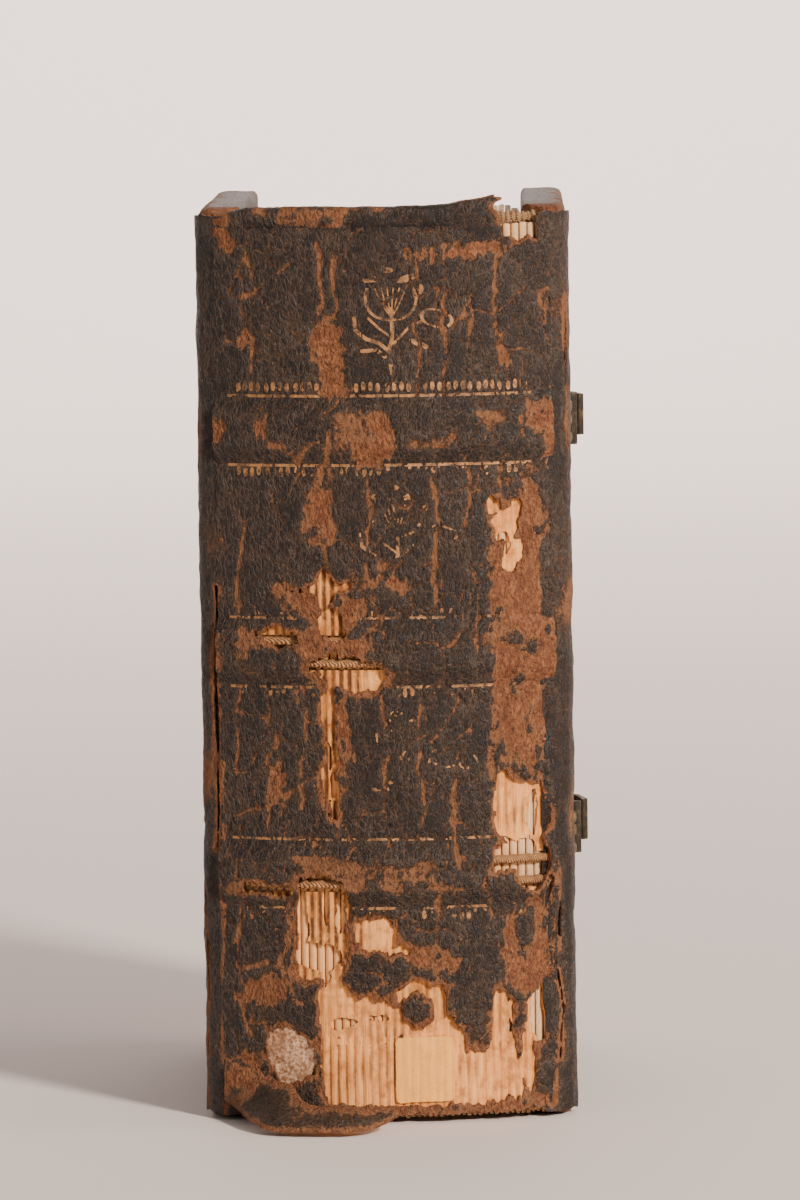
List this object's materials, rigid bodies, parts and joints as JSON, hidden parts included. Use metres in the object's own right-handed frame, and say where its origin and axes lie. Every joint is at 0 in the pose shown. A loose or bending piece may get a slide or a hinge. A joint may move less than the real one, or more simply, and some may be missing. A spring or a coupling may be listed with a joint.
{
  "type": "prayer book",
  "caption": "Thick old prayer book standing on its tail: sewn leaves on a rounded spine with raised bands, laced wooden boards in torn dark leather, and strap clasps.",
  "frame": {"origin": "on the surface the book stands on, below the middle of its bounding box", "axes": "+Z from tail to head, -Y out of the spine towards the viewer, +X towards the front board"},
  "size_m": [0.0744, 0.137, 0.167],
  "materials": {
    "leaf_paper": "aged laid paper, browned along its edges",
    "endpaper": "aged endpaper",
    "linen_cord": "twisted linen cord",
    "spine_lining": "glue-browned pasted lining",
    "endband_silk": "silk wound over a cord core",
    "spine_leather": "dark, crackled and torn",
    "cover_leather": "dark, rubbed at the edges",
    "board_wood": "sawn and planed board",
    "peg_wood": "whittled peg",
    "strap_leather": "thick strap leather",
    "clasp_brass": "tarnished sheet brass",
    "nail_brass": "tarnished domed nails"
  },
  "bodies": {
    "text_block": {"gatherings_01": "leaf_paper", "gatherings_02": "leaf_paper", "gatherings_03": "leaf_paper", "gatherings_04": "leaf_paper", "gatherings_05": "leaf_paper", "gatherings_06": "leaf_paper", "gatherings_07": "leaf_paper", "gatherings_08": "leaf_paper", "gatherings_09": "leaf_paper", "gatherings_10": "leaf_paper", "sewing_cord_1": "linen_cord", "sewing_cord_2": "linen_cord", "sewing_cord_3": "linen_cord", "sewing_thread": "linen_cord", "spine_lining_1": "spine_lining", "spine_lining_2": "spine_lining", "spine_lining_3": "spine_lining", "spine_lining_4": "spine_lining", "head_endband": "endband_silk", "tail_endband": "endband_silk", "spine_leather": "spine_leather", "head_cap": "spine_leather", "tail_flap": "spine_leather"},
    "front_cover": {"front_board": "board_wood", "front_board_leather": "cover_leather", "front_pastedown": "endpaper", "front_cord_slips": "linen_cord", "front_board_pegs": "peg_wood", "upper_catch_plate": "clasp_brass", "lower_catch_plate": "clasp_brass", "catch_nails": "nail_brass"},
    "back_cover": {"back_board": "board_wood", "back_board_leather": "cover_leather", "back_pastedown": "endpaper", "back_cord_slips": "linen_cord", "back_board_pegs": "peg_wood", "upper_strap_root": "strap_leather", "lower_strap_root": "strap_leather", "upper_anchor_plate": "clasp_brass", "lower_anchor_plate": "clasp_brass", "anchor_nails": "nail_brass"},
    "front_endleaf": {"front_flyleaf": "endpaper"},
    "back_endleaf": {"back_flyleaf": "endpaper"},
    "first_gathering": {"first_leaves": "leaf_paper"},
    "last_gathering": {"last_leaves": "leaf_paper"},
    "upper_clasp": {"upper_strap": "strap_leather", "upper_hook_plate": "clasp_brass", "upper_hook_rivets": "nail_brass"},
    "lower_clasp": {"lower_strap": "strap_leather", "lower_hook_plate": "clasp_brass", "lower_hook_rivets": "nail_brass"}
  },
  "joints": [
    {"name": "front_cover_open", "type": "hinge", "parent": "text_block", "child": "front_cover", "pos_m": [0.0332, -0.05093, 0.0835], "axis": [0, 0, -1], "range_deg": [0, 150]},
    {"name": "back_cover_open", "type": "hinge", "parent": "text_block", "child": "back_cover", "pos_m": [-0.0332, -0.05093, 0.0835], "axis": [0, 0, 1], "range_deg": [0, 150]},
    {"name": "front_flyleaf_turn", "type": "hinge", "parent": "text_block", "child": "front_endleaf", "pos_m": [0.02505, -0.04769, 0.0835], "axis": [0, 0, -1], "range_deg": [0, 75]},
    {"name": "first_leaves_turn", "type": "hinge", "parent": "text_block", "child": "first_gathering", "pos_m": [0.02428, -0.04734, 0.0835], "axis": [0, 0, -1], "range_deg": [0, 45]},
    {"name": "back_flyleaf_turn", "type": "hinge", "parent": "text_block", "child": "back_endleaf", "pos_m": [-0.02505, -0.04769, 0.0835], "axis": [0, 0, 1], "range_deg": [0, 75]},
    {"name": "last_leaves_turn", "type": "hinge", "parent": "text_block", "child": "last_gathering", "pos_m": [-0.02428, -0.04734, 0.0835], "axis": [0, 0, 1], "range_deg": [0, 45]},
    {"name": "upper_clasp_swing", "type": "hinge", "parent": "back_cover", "child": "upper_clasp", "pos_m": [-0.03465, 0.05142, 0.122], "axis": [0, 0, 1], "range_deg": [-12, 150]},
    {"name": "lower_clasp_swing", "type": "hinge", "parent": "back_cover", "child": "lower_clasp", "pos_m": [-0.03465, 0.05142, 0.042], "axis": [0, 0, 1], "range_deg": [-12, 150]}
  ],
  "couplings": [
    {"joint": "front_flyleaf_turn", "follows": "front_cover_open", "ratio": 0.5},
    {"joint": "first_leaves_turn", "follows": "front_cover_open", "ratio": 0.3},
    {"joint": "back_flyleaf_turn", "follows": "back_cover_open", "ratio": 0.5},
    {"joint": "last_leaves_turn", "follows": "back_cover_open", "ratio": 0.3}
  ]
}
